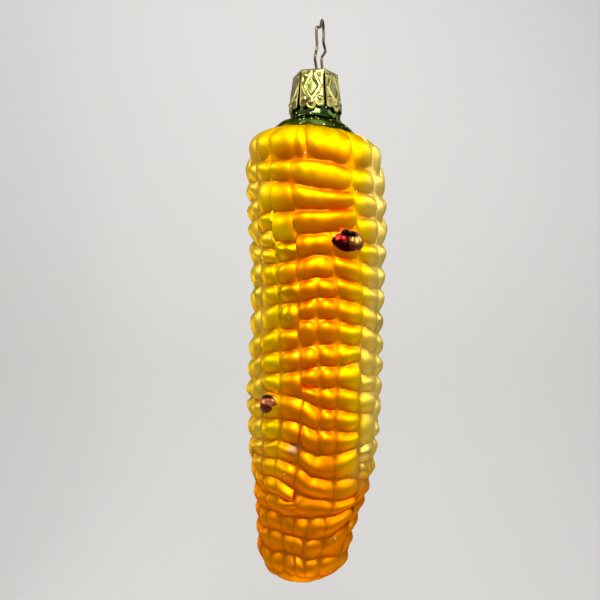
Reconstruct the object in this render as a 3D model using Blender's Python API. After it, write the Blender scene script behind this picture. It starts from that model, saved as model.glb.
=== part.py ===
"""Hanging glass ornament in the shape of a corn cob.

A thin blown-glass cob with a kernel relief and an open neck, a stamped metal
crown cap over the neck, and a spring wire whose loop carries the whole thing.
Drawn in mm with +Z up and the front towards -Y, finished in metres.  Angles are
measured about +Z from the front, positive towards +X.
"""
import math
import random

import bmesh
import bpy
from mathutils import Vector

MM = 0.001
HOOK = (0.7, 0.65, 0.0)    # where a hook bears in the drawing: the row origin

# ---- glass cob -----------------------------------------------------------
WALL = 0.6                 # glass left under the deepest grooves
KERNEL_RISE = 1.15         # kernel tops above the grooves
KERNEL_SLOPE = 1.0         # width of the slope from groove to kernel top
BUG_RISE = 0.55            # extra rise of the two moulded beetles
SHOULDER_TILT = 0.09       # the shoulder sits lower towards +X
TIP = (-4.8, 0.0, -152.3)

# kernel-top radius by height
PROFILE = [(-30.4, 10.8), (-31.0, 13.0), (-33.2, 16.9), (-36.5, 18.4), (-41.0, 18.9),
           (-47.0, 19.2), (-58.0, 19.1), (-69.0, 18.7), (-79.5, 18.3), (-90.0, 18.5),
           (-101.0, 18.5), (-112.0, 18.1), (-118.0, 17.6), (-123.0, 17.0),
           (-128.5, 16.0), (-134.0, 14.8), (-139.5, 13.6), (-143.5, 12.7),
           (-146.0, 11.9), (-149.2, 9.4), (-151.4, 6.0), (-152.3, 0.0)]
# sideways place of the middle by height: the tip swings towards -X
MIDDLE = [(-27.0, -1.3), (-36.0, -1.6), (-46.0, -1.1), (-63.0, -0.5), (-79.0, -0.8),
          (-90.0, -1.3), (-107.0, -1.7), (-123.0, -2.1), (-134.0, -3.0),
          (-143.0, -4.2), (-152.0, -4.8)]
# rings of the neck, then of the shoulder's start and turn: height, radius
NECK = [(-15.9, 4.65), (-18.0, 4.9), (-21.0, 5.5), (-25.0, 6.35), (-26.8, 6.5),
        (-28.0, 6.8), (-28.8, 7.7), (-29.6, 9.2)]
SHOULDER = [(-30.3, 10.6), (-32.9, 16.1)]
DOME_DROPS = [0.42, 0.76]  # rings of the tip, as shares of the way down to it

# edges between the kernel rows down the front middle
ROW_EDGES = [-41.5, -49.0, -54.5, -57.5, -60.5, -66.0, -71.0, -76.5, -81.5, -88.0,
             -93.5, -98.5, -103.5, -109.0, -115.0, -121.0, -127.0, -132.5, -137.5,
             -143.5]
# how far each file's rows sit above (+) or below (-) those edges, at seven of them
ANCHORS = [0, 2, 5, 8, 12, 15, 19]
FILE_SHIFT = [
    [0.6, 0.4, -2.8, -2.6, -3.0, -2.1, -2.4],
    [-0.1, -0.1, -1.8, -2.4, -3.2, -1.2, -0.4],
    [0.7, 0.3, 0.0, 0.4, 0.5, 0.1, 0.3],
    [-0.7, -0.3, 0.0, -0.4, -0.5, -0.1, -0.3],
    [-1.6, 0.8, -0.4, -0.7, -0.8, -0.8, -1.6],
    [-2.2, -1.1, -2.9, -2.9, -3.5, -2.4, -2.1],
    [-1.4, -1.6, -3.2, -5.0, -6.0, -4.6, -2.6],
    [1.2, 0.2, -1.4, -4.0, -4.4, -3.2, -2.6],
    [1.5, 0.5, -1.5, -3.4, -3.8, -3.0, -2.3],
    [1.2, 0.2, -1.2, -3.0, -3.3, -2.6, -2.0],
    [0.8, 0.6, -1.6, -2.6, -3.6, -2.8, -1.6],
    [1.4, 0.2, -1.8, -3.2, -3.0, -2.2, -2.0],
    [1.0, 0.8, -1.2, -2.8, -3.4, -2.9, -1.8],
    [1.6, 0.9, -1.6, -3.3, -3.8, -3.2, -2.4],
    [2.0, 1.5, -1.5, -3.6, -4.0, -3.5, -2.5],
    [3.0, 3.5, -1.5, -4.6, -4.5, -4.0, -3.0],
    [4.0, 5.0, -1.4, -5.8, -5.2, -5.0, -3.0],
    [1.5, 4.0, -1.0, -4.6, -4.7, -4.8, -3.0],
]
FILES = len(FILE_SHIFT)
# angles of the edges before the first seven files, at these heights
EDGE_HEIGHTS = [-36, -47, -60, -72, -85, -100, -112, -122, -132, -142]
FRONT_EDGES = [
    [-60, -60, -58, -58, -56, -51, -52, -54, -52, -50],
    [-40, -41, -41, -37, -33, -29, -30, -37, -34, -28],
    [-20, -20, -20, -17, -16, -11, -13, -17, -18, -14],
    [-3, -4, -6, -2, -1, 4, 2, 0, -3, -1],
    [11, 11, 8, 14, 17, 18, 18, 20, 17, 20],
    [28, 28, 33, 38, 40, 40, 42, 47, 49, 52],
    [52, 54, 58, 63, 64, 66, 67, 70, 72, 76],
]
SEED = 11
WANDER = 1.3               # degrees by which the back's edges stray

# bands of faces count down from the neck rim
FIRST_BAND = len(NECK)     # the top kernels take this band and the next
LAST_BAND = FIRST_BAND + len(SHOULDER) + len(ROW_EDGES) - 2
TALL_BAND = FIRST_BAND + 4  # one kernel over two bands, but not in these files
SPLIT_FILES = {0, 15, 16, 17}
# kernels that run into one wide bar: first file, last file, band
BARS = [(2, 4, 10), (2, 4, 11), (2, 4, 12), (2, 3, 14), (2, 3, 15)]
BUGS = [(4, 14), (0, 21)]  # file and band of the two beetles

# ---- crown cap -----------------------------------------------------------
CAP_X = -1.3               # axis of neck and cap
CAP_SHEET = 0.35
CAP_CORNER = 6.25          # top corners from the axis
CAP_FOOT = 7.2             # radius of the round foot
CAP_TURN = 20.4            # angle of one corner
CAP_PANELS = 6
CAP_ROWS = [-15.0, -16.0, -18.5, -21.5, -24.0]
CAP_LOBES = [-24.7, -25.5, -25.7, -25.3, -26.3, -26.6, -26.3, -25.3, -25.7, -25.5,
             -24.7]        # scalloped foot of a panel, from slit to slit
SLIT_TOP, SLIT_FOOT = 0.5, 1.3
WIRE_HOLE = 0.72           # radius
HOLE_SIDES = 12

# ---- hanging wire --------------------------------------------------------
WIRE = 0.75
WIRE_STEPS = 3
# from the end of the front leg inside the neck, up over the loop and back down
WIRE_ROUTE = [
    (-1.9, -4.2, -26.5), (-1.75, -3.9, -24.0), (-1.45, -3.2, -20.0),
    (-1.2, -2.75, -17.0), (-1.08, -2.6, -15.2), (-1.05, -2.6, -14.0),
    (-1.25, -2.85, -12.8), (-1.45, -3.2, -11.5), (-1.3, -3.0, -10.4),
    (-1.1, -2.65, -9.4), (-0.9, -2.5, -8.3), (-0.9, -2.5, -7.2),
    (-1.0, -2.6, -5.5), (-1.03, -2.62, -4.0), (-1.0, -2.55, -3.1),
    (-0.7, -2.1, -2.62), (-0.1, -1.5, -2.42), (0.2, -1.2, -1.8),
    (0.3, -0.95, -1.0), (0.5, -0.3, -0.05), (0.7, 0.65, 0.375),
    (0.9, 1.6, 0.1), (1.02, 2.3, -0.7), (1.1, 2.6, -1.8), (1.12, 2.6, -3.2),
    (1.08, 2.6, -4.4), (1.2, 2.9, -5.3), (1.55, 3.45, -6.4), (1.6, 3.45, -7.1),
    (1.2, 2.9, -8.0), (0.75, 2.1, -8.9), (0.5, 1.7, -9.8), (0.58, 1.75, -11.2),
    (0.72, 1.9, -12.6), (0.75, 2.0, -14.0), (0.75, 2.05, -15.2),
    (0.9, 2.4, -17.0), (1.3, 3.1, -20.0), (1.65, 3.7, -24.0), (1.8, 4.0, -26.5),
]


def between(table, x):
    """Value at x on straight lines through (x, value) pairs."""
    table = sorted(table)
    if x <= table[0][0]:
        return table[0][1]
    for (x0, v0), (x1, v1) in zip(table, table[1:]):
        if x <= x1:
            return v0 + (v1 - v0) * (x - x0) / (x1 - x0)
    return table[-1][1]


def dress(obj, colour, roughness, metallic):
    """Give the object its own material and put it in the scene."""
    mat = bpy.data.materials.new(obj.name)
    mat.use_nodes = True
    shader = mat.node_tree.nodes["Principled BSDF"]
    shader.inputs["Base Color"].default_value = (*colour, 1.0)
    shader.inputs["Roughness"].default_value = roughness
    shader.inputs["Metallic"].default_value = metallic
    obj.data.materials.append(mat)
    bpy.context.scene.collection.objects.link(obj)
    return obj


def finished(name, bm):
    """A mesh object in metres, with the row origin at the hook's place."""
    bmesh.ops.translate(bm, vec=-Vector(HOOK), verts=bm.verts)
    bmesh.ops.scale(bm, vec=(MM, MM, MM), verts=bm.verts)
    mesh = bpy.data.meshes.new(name)
    bm.to_mesh(mesh)
    bm.free()
    return bpy.data.objects.new(name, mesh)


# ---- glass cob -----------------------------------------------------------
def file_edges():
    """For each edge between files, its (height, angle) pairs."""
    rng = random.Random(SEED)
    edges = [list(zip(EDGE_HEIGHTS, angles)) for angles in FRONT_EDGES]
    first, last = edges[0], edges[-1]
    steps = FILES - len(edges) + 1
    for n in range(1, steps):
        edges.append([(z, b + (a + 360 - b) * n / steps + rng.uniform(-WANDER, WANDER))
                      for (z, a), (_, b) in zip(first, last)])
    return edges


def row_height(file, edge):
    return ROW_EDGES[edge] + between(zip(ANCHORS, FILE_SHIFT[file]), edge)


def cob_rings():
    """Rings of points at groove level, from the neck rim to the tip."""
    edges = file_edges()

    def at(k, radius, z, tilt=0.0):
        a = math.radians(between(edges[k], z))
        x = radius * math.sin(a) + between(MIDDLE, z)
        return Vector((x, -radius * math.cos(a), z - tilt * x))

    rings = []
    for z, radius in NECK + SHOULDER:
        tilt = SHOULDER_TILT * min(1.0, max(0.0, (-26.8 - z) / 2.5))
        rings.append([at(k, radius, z, tilt) for k in range(FILES)])
    for edge in range(len(ROW_EDGES)):
        heights = [(row_height(k - 1, edge) + row_height(k, edge)) / 2
                   for k in range(FILES)]
        rings.append([at(k, between(PROFILE, z) - KERNEL_RISE, z)
                      for k, z in enumerate(heights)])
    low = [p.z for p in rings[-1]]
    for share in DOME_DROPS:
        heights = [z + (TIP[2] - z) * share for z in low]
        rings.append([at(k, between(PROFILE, z) - KERNEL_RISE * (1 - share), z)
                      for k, z in enumerate(heights)])
    return rings


def kernel_cells(bands):
    """Yield (file, band, faces) of each kernel, wide bars as one."""
    for k in range(FILES):
        band = FIRST_BAND
        while band <= LAST_BAND:
            tall = band == FIRST_BAND or (band == TALL_BAND and k not in SPLIT_FILES)
            bar = next((b for b in BARS if b[0] <= k <= b[1] and b[2] == band), None)
            files = range(bar[0], bar[1] + 1) if bar else [k]
            if k == files[0]:
                yield k, band, [bands[b][f] for f in files
                                for b in range(band, band + 1 + tall)]
            band += 1 + tall


def glass_cob():
    bm = bmesh.new()
    grid = [[bm.verts.new(p) for p in ring] for ring in cob_rings()]
    tip = bm.verts.new(TIP)
    around = [(k, (k + 1) % FILES) for k in range(FILES)]
    bands = [[bm.faces.new((up[a], low[a], low[b], up[b])) for a, b in around]
             for up, low in zip(grid, grid[1:])]
    for a, b in around:
        bm.faces.new((grid[-1][a], tip, grid[-1][b]))
    bm.normal_update()

    inner = {v: bm.verts.new(v.co - v.normal * WALL) for v in list(bm.verts)}
    for v in grid[0]:
        inner[v].co.z = v.co.z
    for face in list(bm.faces):
        bm.faces.new([inner[v] for v in reversed(face.verts)])
    for a, b in around:
        a, b = grid[0][a], grid[0][b]
        bm.faces.new((a, b, inner[b], inner[a]))

    for k, band, faces in list(kernel_cells(bands)):
        rise = KERNEL_RISE + (BUG_RISE if (k, band) in BUGS else 0.0)
        bmesh.ops.inset_region(bm, faces=faces, thickness=KERNEL_SLOPE, depth=rise,
                               use_even_offset=True)
    bmesh.ops.triangulate(bm, faces=bm.faces)
    return dress(finished("glass_cob", bm), (0.93, 0.5, 0.02), 0.3, 0.6)


# ---- crown cap -----------------------------------------------------------
def cap_point(angle, z):
    """The cap's outside: a hexagon at the top that turns round at the foot."""
    off = (angle - CAP_TURN) % 60 - 30
    six = CAP_CORNER * math.cos(math.radians(30)) / math.cos(math.radians(off))
    share = (CAP_ROWS[0] - z) / (CAP_ROWS[0] - CAP_ROWS[-1])
    radius = six + (CAP_FOOT - six) * min(share, 1.0)
    a = math.radians(angle)
    return (CAP_X + radius * math.sin(a), -radius * math.cos(a), z)


def crown_cap():
    bm = bmesh.new()
    columns = len(CAP_LOBES)
    top, band = [], []     # the two upper rings, over the slits as well
    for p in range(CAP_PANELS):
        start = CAP_TURN + p * 60
        sheets = []
        for row, z in enumerate(CAP_ROWS + [None]):
            depth = min(row, 4) / 4
            slit = SLIT_TOP + (SLIT_FOOT - SLIT_TOP) * depth
            half = math.degrees(slit / 2 / CAP_CORNER)
            sheet = []
            for c, lobe in enumerate(CAP_LOBES):
                angle = start + half + (60 - 2 * half) * c / (columns - 1)
                sheet.append(bm.verts.new(cap_point(angle, lobe if z is None else z)))
            sheets.append(sheet)
        top += [bm.verts.new(cap_point(start, CAP_ROWS[0]))] + sheets[0]
        band += [bm.verts.new(cap_point(start, CAP_ROWS[1]))] + sheets[1]
        for up, low in zip(sheets[1:], sheets[2:]):
            for c in range(columns - 1):
                bm.faces.new((up[c], low[c], low[c + 1], up[c + 1]))
    for c in range(len(top)):
        d = (c + 1) % len(top)
        bm.faces.new((top[c], band[c], band[d], top[d]))
    rim = [bm.edges.get((top[c], top[(c + 1) % len(top)])) for c in range(len(top))]
    for x, y in [(-1.08, -2.6), (0.75, 2.04)]:
        hole = [bm.verts.new((x + WIRE_HOLE * math.cos(2 * math.pi * s / HOLE_SIDES),
                              y + WIRE_HOLE * math.sin(2 * math.pi * s / HOLE_SIDES),
                              CAP_ROWS[0])) for s in range(HOLE_SIDES)]
        rim += [bm.edges.new((hole[s - 1], hole[s])) for s in range(HOLE_SIDES)]
    bmesh.ops.triangle_fill(bm, edges=rim, use_beauty=True, normal=(0, 0, 1))
    bmesh.ops.recalc_face_normals(bm, faces=bm.faces)
    cap = dress(finished("crown_cap", bm), (0.78, 0.66, 0.3), 0.3, 1.0)
    wall = cap.modifiers.new("sheet", "SOLIDIFY")
    wall.thickness = CAP_SHEET * MM
    wall.offset = -1.0
    wall.use_even_offset = True
    return cap


# ---- hanging wire --------------------------------------------------------
def smooth_route(points, steps):
    """Points on a smooth curve through the route's own points."""
    ends = [2 * points[0] - points[1]] + points + [2 * points[-1] - points[-2]]
    out = []
    for a, b, c, d in zip(ends, ends[1:], ends[2:], ends[3:]):
        for s in range(steps):
            t = s / steps
            out.append(0.5 * (2 * b + (c - a) * t + (2 * a - 5 * b + 4 * c - d) * t * t
                              + (3 * b - a - 3 * c + d) * t ** 3))
    return out + [points[-1]]


def hanger_wire():
    route = [Vector(p) - Vector(HOOK) for p in WIRE_ROUTE]
    path = [p * MM for p in smooth_route(route, WIRE_STEPS)]
    curve = bpy.data.curves.new("hanger_wire", "CURVE")
    curve.dimensions = "3D"
    spline = curve.splines.new("POLY")
    spline.points.add(len(path) - 1)
    for point, p in zip(spline.points, path):
        point.co = (*p, 1.0)
    curve.bevel_depth = WIRE / 2 * MM
    curve.bevel_resolution = 2
    curve.use_fill_caps = True
    return dress(bpy.data.objects.new("hanger_wire", curve), (0.55, 0.45, 0.3), 0.3, 1.0)


for old in list(bpy.data.objects):
    bpy.data.objects.remove(old)
glass_cob()
crown_cap()
hanger_wire()
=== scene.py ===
import math
import random

import bpy
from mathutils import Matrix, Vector, noise


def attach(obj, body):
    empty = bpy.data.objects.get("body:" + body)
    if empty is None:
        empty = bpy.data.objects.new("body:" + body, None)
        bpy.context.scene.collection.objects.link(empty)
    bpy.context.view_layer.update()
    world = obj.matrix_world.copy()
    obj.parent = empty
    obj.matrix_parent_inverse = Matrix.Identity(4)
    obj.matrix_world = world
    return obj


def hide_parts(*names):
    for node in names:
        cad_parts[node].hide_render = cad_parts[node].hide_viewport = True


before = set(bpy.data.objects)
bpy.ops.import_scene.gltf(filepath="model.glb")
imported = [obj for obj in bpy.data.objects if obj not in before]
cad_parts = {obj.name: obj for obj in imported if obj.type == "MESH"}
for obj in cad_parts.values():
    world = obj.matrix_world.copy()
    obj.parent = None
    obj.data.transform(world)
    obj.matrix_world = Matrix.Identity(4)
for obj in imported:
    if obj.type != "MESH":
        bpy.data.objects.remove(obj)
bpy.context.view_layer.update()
print("frame loaded:", ", ".join(sorted(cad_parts)))

mm = 0.001
hookPlace = Vector((0.7, 0.65, 0.0))  # the drawing below is in mm; the hook bears here


def deselectAll():
    if bpy.context.object and bpy.context.object.mode != "OBJECT":
        bpy.ops.object.mode_set(mode="OBJECT")
    bpy.ops.object.select_all(action="DESELECT")


def makeActive(obj):
    deselectAll()
    obj.select_set(True)
    bpy.context.view_layer.objects.active = obj


def applyModifier(obj, kind, **settings):
    makeActive(obj)
    modifier = obj.modifiers.new(kind.lower(), kind)
    for key, value in settings.items():
        setattr(modifier, key, value)
    bpy.ops.object.modifier_apply(modifier=modifier.name)


def faceOutwards(obj):
    makeActive(obj)
    bpy.ops.object.mode_set(mode="EDIT")
    bpy.ops.mesh.select_all(action="SELECT")
    bpy.ops.mesh.normals_make_consistent(inside=False)
    bpy.ops.object.mode_set(mode="OBJECT")


# a circle extruded downwards in steps of 1, to be shaped; it's left in edit mode
def steppedTube(name, sides, steps):
    deselectAll()
    bpy.ops.mesh.primitive_circle_add(vertices=sides, radius=1.0, fill_type="NOTHING",
                                      location=(0, 0, 0))
    tube = bpy.context.object
    tube.name = tube.data.name = name
    bpy.ops.object.mode_set(mode="EDIT")
    bpy.ops.mesh.select_mode(type="VERT")
    bpy.ops.mesh.select_all(action="SELECT")
    for _ in range(steps):
        bpy.ops.mesh.extrude_region_move(TRANSFORM_OT_translate={"value": (0, 0, -1)})
    return tube


# leaves only these faces selected, in edit mode
def selectFaces(obj, chosen):
    makeActive(obj)
    mesh = obj.data
    mesh.vertices.foreach_set("select", [False] * len(mesh.vertices))
    mesh.edges.foreach_set("select", [False] * len(mesh.edges))
    picked = set(chosen)
    mesh.polygons.foreach_set("select", [i in picked for i in range(len(mesh.polygons))])
    bpy.context.tool_settings.mesh_select_mode = (False, False, True)
    bpy.ops.object.mode_set(mode="EDIT")


# value at x on straight lines through (x, value) pairs, rising in x
def between(table, x):
    if x <= table[0][0]:
        return table[0][1]
    for (x0, v0), (x1, v1) in zip(table, table[1:]):
        if x <= x1:
            return v0 + (v1 - v0) * (x - x0) / (x1 - x0)
    return table[-1][1]


def smoothStep(low, high, x):
    t = min(1.0, max(0.0, (x - low) / (high - low)))
    return t * t * (3 - 2 * t)


def linearColour(hexText):
    out = []
    for i in (1, 3, 5):
        c = int(hexText[i:i + 2], 16) / 255
        out.append(c / 12.92 if c <= 0.04045 else ((c + 0.055) / 1.055) ** 2.4)
    return (*out, 1.0)


def newMaterial(name):
    mat = bpy.data.materials.new(name)
    mat.use_nodes = True
    mat.node_tree.nodes.clear()
    return mat


def addNode(mat, kind, inputs=None, **settings):
    node = mat.node_tree.nodes.new(kind)
    for key, value in settings.items():
        setattr(node, key, value)
    for key, value in (inputs or {}).items():
        if isinstance(value, bpy.types.NodeSocket):
            mat.node_tree.links.new(value, node.inputs[key])
        else:
            node.inputs[key].default_value = value
    return node


# glass cob

cobForm = {
    "seed": 11,                # of every random draw on the cob
    "kernelRise": 1.3,         # kernel tops above the grooves
    "insets": (0.4, 0.95),     # rings of faces inside each kernel's edge
    # how far a kernel goes on rising: up from the groove below it, down from the one above,
    # the same at the lower end, and in from a groove between files
    "rollReach": (3.2, 2.7),
    "lowRollReach": (2.8, 2.4),
    "sideReach": 2.9,
    "rollFit": 1.3,            # a tall kernel's roll reaches at most this much further
    "fileDepth": 0.58,         # the grooves between files are this much as deep
    "gap": 0.4,                # width of the groove floor between files
    "gapRadius": 3.0,          # nearer the middle than this it grows narrower
    "floorShare": 0.08,        # its width inside a wide bar, where a kernel's is 1
    "notch": (0.16, 1.5),      # depth share and half width of the dips in a wide bar
    "meeting": 2.6,            # row edges of files side by side meet when they are this near
    # share of their rise that kernels keep, by height
    "relief": [(-149.0, 0.4), (-142.0, 0.75), (-118.0, 0.85), (-108.0, 1.0)],
    "lowFiles": (-112, -126, 0.4),   # grooves between files fade from here to here, to this
    "firstRow": 1.25,          # the first row rises by so much more
    "firstFade": (0.3, 0.95),  # and flattens out between these shares of its height
    "firstFiles": 0.55,        # the grooves between its kernels are this share as deep
    "riseSpread": (0.12, 0.14),    # share by which kernels' rises differ, and low down
    "lowBand": 15,             # low down is from this band on
    # how far a kernel's highest place strays up and sideways, as shares of its size
    "skewUp": (-0.12, 0.02),
    "skewSide": 0.1,
    "underBeetle": 0.8,        # a kernel under a beetle rises by this share
    # mm above a groove: a kernel's underside, which takes painted shade, is full to the first,
    # gone from the second
    "underHeights": (1.0, 3.1),
    "usualHeight": 5.0,        # of a kernel, for the groove floors between files
    # painted shade, a darker tint in the grooves: its reach as a share of a kernel's height, its
    # strength on groove floors, and on soft ones
    "grooveShade": (0.24, 0.5, 0.3),
    "tip": (-4.8, 0.0, -152.9),
    "innerTip": (-4.8, 0.0, -151.0),
    # the shoulder drops to the right by this share, from a height down, full so far below it
    "shoulderTilt": 0.09,
    "tiltFrom": (-26.8, 2.5),
    "tiltEnd": (-42, -36),     # gone below the first height, full above the second
    "boreTiltEnd": -38,        # the inside is tilted down to here
    "bodyTop": -33,            # from here down the body is made round after it is subdivided
    "roundFrom": (-34.6, -37),     # little by little between these heights
    # kernel-top radius by height
    "profile": [(-152.6, 0.0), (-151.6, 6.6), (-149.4, 10.2), (-146.4, 12.2), (-143.5, 13.0),
                (-139.5, 13.7), (-134.0, 14.8), (-128.5, 16.0), (-123.0, 17.0),
                (-118.0, 17.6), (-112.0, 18.1), (-101.0, 18.5), (-90.0, 18.5), (-79.5, 18.3),
                (-69.0, 18.7), (-58.0, 19.1), (-47.0, 19.2), (-41.0, 18.9), (-37.0, 18.6),
                (-35.2, 17.6), (-33.2, 15.0), (-31.6, 12.0)],
    # the middle strays sideways: the tip swings towards -X
    "middle": [(-152.0, -4.8), (-143.0, -4.2), (-134.0, -3.0), (-123.0, -2.1),
               (-107.0, -1.7), (-90.0, -1.3), (-79.0, -0.8), (-63.0, -0.5), (-46.0, -1.1),
               (-36.0, -1.6), (-27.0, -1.3)],
    # radius by height: the inside from the tip up, then the outside from the rim down
    "bore": [(-149.8, 5.5), (-146.0, 9.0), (-139.0, 11.6), (-128.0, 13.8), (-112.0, 15.9),
             (-90.0, 16.3), (-66.0, 16.6), (-45.0, 16.8), (-38.0, 15.6), (-34.6, 12.5),
             (-31.6, 8.0), (-28.4, 5.9), (-25.0, 5.5), (-21.0, 4.7), (-17.0, 4.05),
             (-16.0, 4.0)],
    "neck": [(-15.7, 4.3), (-15.9, 4.65), (-18.0, 4.9), (-21.0, 5.5), (-25.0, 6.4),
             (-27.4, 6.95), (-28.2, 7.4), (-28.9, 8.4), (-29.7, 10.1)],
    "shoulder": [(-32.0, 11.9), (-34.5, 16.2)],
    "domeShares": [0.45, 0.8],     # rings between the last row and the tip
    "domeSink": 0.7,           # they lie this share of the rise deep, less towards the tip
    "dome": (-142.5, 10.0, 2.5),   # height of its middle, drop and squareness
    "lastRow": 5.4,            # depth of the last row of kernels, on the tip
    "waviness": (0.24, 130.0, 0.12, 330.0),  # heights in mm and scales of soft dents
    "wavesBelow": -35,         # from here down
    "lowWaviness": 1.6,        # so much deeper at the lower end
    "wavesLow": (-126, -110),  # fully so below the first height, not above the second
    "stray": (0.55, 1.1, 140.0),   # grooves stray this far in mm, above and low down; scale
    "strayFrom": (-36, -40),   # none above the first height, all below the second
    "strayLow": (-128, -104),  # most below the first, least above the second
    "softLow": (-104, -124, 0.3),  # grooves turn soft from here to here, to this share
    "softDepth": 0.5,          # soft grooves are this share as deep
    # soft grooves between files: the file after the groove, and the band
    "softGrooves": {(1, 2), (2, 2), (1, 3), (2, 3), (1, 4), (2, 4), (4, 6), (2, 8), (3, 8),
                    (2, 12), (1, 13), (2, 13), (2, 14), (1, 15), (1, 16), (4, 16), (1, 17),
                    (2, 17), (1, 18)},
    # how far a front file's rows drop from its left side to its right, by height
    "slant": {
        17: [(-142, 1.2), (-112, 0.6), (-98, 0.0)],
        0: [(-145, 1.0), (-138, 1.6), (-131.6, 2.0), (-127, 1.6), (-122.4, 1.8),
            (-117.6, 1.2), (-108, 1.0), (-98, 0.3)],
        1: [(-142, 1.8), (-136, 2.6), (-131, 1.5), (-126, 1.7), (-117, 0.8), (-107, 1.6),
            (-100, 0.8)],
        2: [(-142, 0.8), (-132, 0.8), (-126.8, 1.5), (-121, 2.0), (-108, 1.6), (-98, 0.0)],
        3: [(-142, -0.8), (-132, -1.8), (-126.4, -0.8), (-120, 0.0)],
        4: [(-142, -1.0), (-128, -1.3), (-120, -0.4), (-104, 0.0)],
        5: [(-142, -1.0), (-128, -1.0), (-120, -0.4), (-104, 0.0)],
    },
    # edges between the kernel rows round the back
    "rowEdges": [-41.5, -49.0, -54.5, -57.5, -60.5, -66.0, -71.0, -76.5, -81.5, -88.0,
                 -93.5, -98.5, -103.5, -109.0, -115.0, -121.0, -127.0, -132.5, -137.5,
                 -143.5],
    # how far each back file's rows stray from those edges, at these ones
    "anchors": [0, 2, 5, 8, 12, 15, 19],
    "backShift": {
        7: [1.2, 0.2, -1.4, -4.0, -4.4, -3.2, -2.6],
        8: [1.5, 0.5, -1.5, -3.4, -3.8, -3.0, -2.3],
        9: [1.2, 0.2, -1.2, -3.0, -3.3, -2.6, -2.0],
        10: [0.8, 0.6, -1.6, -2.6, -3.6, -2.8, -1.6],
        11: [1.4, 0.2, -1.8, -3.2, -3.0, -2.2, -2.0],
        12: [1.0, 0.8, -1.2, -2.8, -3.4, -2.9, -1.8],
        13: [1.6, 0.9, -1.6, -3.3, -3.8, -3.2, -2.4],
        14: [2.0, 1.5, -1.5, -3.6, -4.0, -3.5, -2.5],
        15: [3.0, 3.5, -1.5, -4.6, -4.5, -4.0, -3.0],
        16: [4.0, 5.0, -1.4, -5.8, -5.2, -5.0, -3.0],
    },
    # the front files have their own row edges, file by file from the left
    "frontRows": {
        17: [-40.2, -45.4, -50.4, -56.3, -62.2, -66.7, -72.3, -79.2, -86.3, -91.8, -97.2,
             -102.7, -108.3, -113.2, -117.9, -122.6, -127.4, -132.2, -137.6, -143.4],
        0: [-41.1, -47.0, -54.3, -59.8, -64.1, -68.6, -73.5, -78.1, -84.2, -90.0, -95.1,
            -100.1, -106.7, -112.6, -117.6, -122.4, -127.0, -131.6, -137.2, -142.4],
        1: [-41.9, -47.4, -54.8, -58.6, -62.4, -67.6, -72.8, -78.3, -84.0, -89.7, -95.1,
            -100.8, -106.8, -112.3, -117.6, -122.7, -127.3, -131.8, -136.9, -141.8],
        2: [-41.0, -48.4, -54.3, -57.6, -60.9, -65.8, -71.1, -76.3, -81.7, -87.8, -93.3,
            -98.4, -102.8, -108.2, -114.3, -120.3, -125.8, -131.6, -137.4, -142.4],
        3: [-42.5, -49.4, -55.0, -57.7, -60.4, -65.8, -71.0, -76.2, -81.9, -88.0, -93.7,
            -98.8, -104.1, -109.5, -115.4, -121.2, -126.4, -132.0, -137.6, -143.5],
        4: [-43.4, -49.6, -53.9, -56.6, -59.3, -66.0, -72.0, -77.2, -82.1, -87.7, -92.6,
            -98.9, -104.5, -110.4, -115.9, -122.0, -127.6, -132.4, -137.4, -142.8],
        5: [-44.0, -49.8, -55.9, -59.1, -62.4, -68.6, -73.6, -78.7, -84.1, -89.9, -95.7,
            -101.3, -106.8, -113.3, -118.7, -123.8, -129.0, -134.0, -139.0, -144.2],
        6: [-43.4, -50.4, -56.2, -59.4, -62.7, -68.8, -75.0, -80.8, -86.6, -92.3, -97.8,
            -104.0, -109.5, -115.2, -120.6, -125.5, -130.4, -135.2, -139.8, -144.6],
    },
    # angles of the edges before the first seven files, from the tip up
    "edgeHeights": [-142, -132, -122, -112, -100, -85, -72, -60, -47, -36],
    "frontEdges": [
        [-50, -52, -54, -52, -51, -56, -58, -58, -60, -60],
        [-28, -34, -37, -30, -29, -33, -37, -41, -41, -40],
        [-14, -18, -17, -13, -11, -16, -17, -20, -20, -20],
        [-1, -3, 0, 2, 4, -1, -2, -6, -4, -9],
        [20, 17, 20, 18, 18, 17, 14, 8, 11, 11],
        [52, 49, 47, 42, 40, 40, 38, 33, 28, 28],
        [76, 72, 70, 67, 66, 64, 63, 58, 54, 52],
    ],
    "wander": 1.3,             # degrees by which the back's edges stray
    "tallBand": 4,             # the kernel that starts here is two bands high
    "splitFiles": {0, 15, 16, 17},       # but not in these files
    # kernels that run into one wide bar: first file, last file, band
    "bars": [(1, 2, 0), (3, 4, 0), (2, 4, 2), (2, 4, 3), (2, 4, 4), (2, 3, 6), (2, 3, 7),
             (2, 3, 16), (2, 3, 17), (1, 3, 18), (1, 2, 20)],
    "beetles": [(4, 6), (0, 13)],        # file and band of the kernels under the beetles
}
files = 18
columns = 2 * files  # a file's own faces, then the groove floor after it
rowCount = len(cobForm["rowEdges"]) + 1
# marks of the cage's faces that are no kernel's own
plainFace, grooveFace, insideFace, softFace = -1, -2, -3, -4


# for each edge between files, its (height, angle) pairs
def fileEdges():
    rng = random.Random(cobForm["seed"])
    edges = [list(zip(cobForm["edgeHeights"], a)) for a in cobForm["frontEdges"]]
    first, last = edges[0], edges[-1]
    steps = files - len(edges) + 1
    for n in range(1, steps):
        edges.append([(z, b + (a + 360 - b) * n / steps
                       + rng.uniform(-cobForm["wander"], cobForm["wander"]))
                      for (z, a), (_, b) in zip(first, last)])
    edges.append([(z, a + 360) for z, a in first])
    return edges


edgeLines = fileEdges()
rowEnds = {}  # heights of the row edges down each column of the cage


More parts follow.
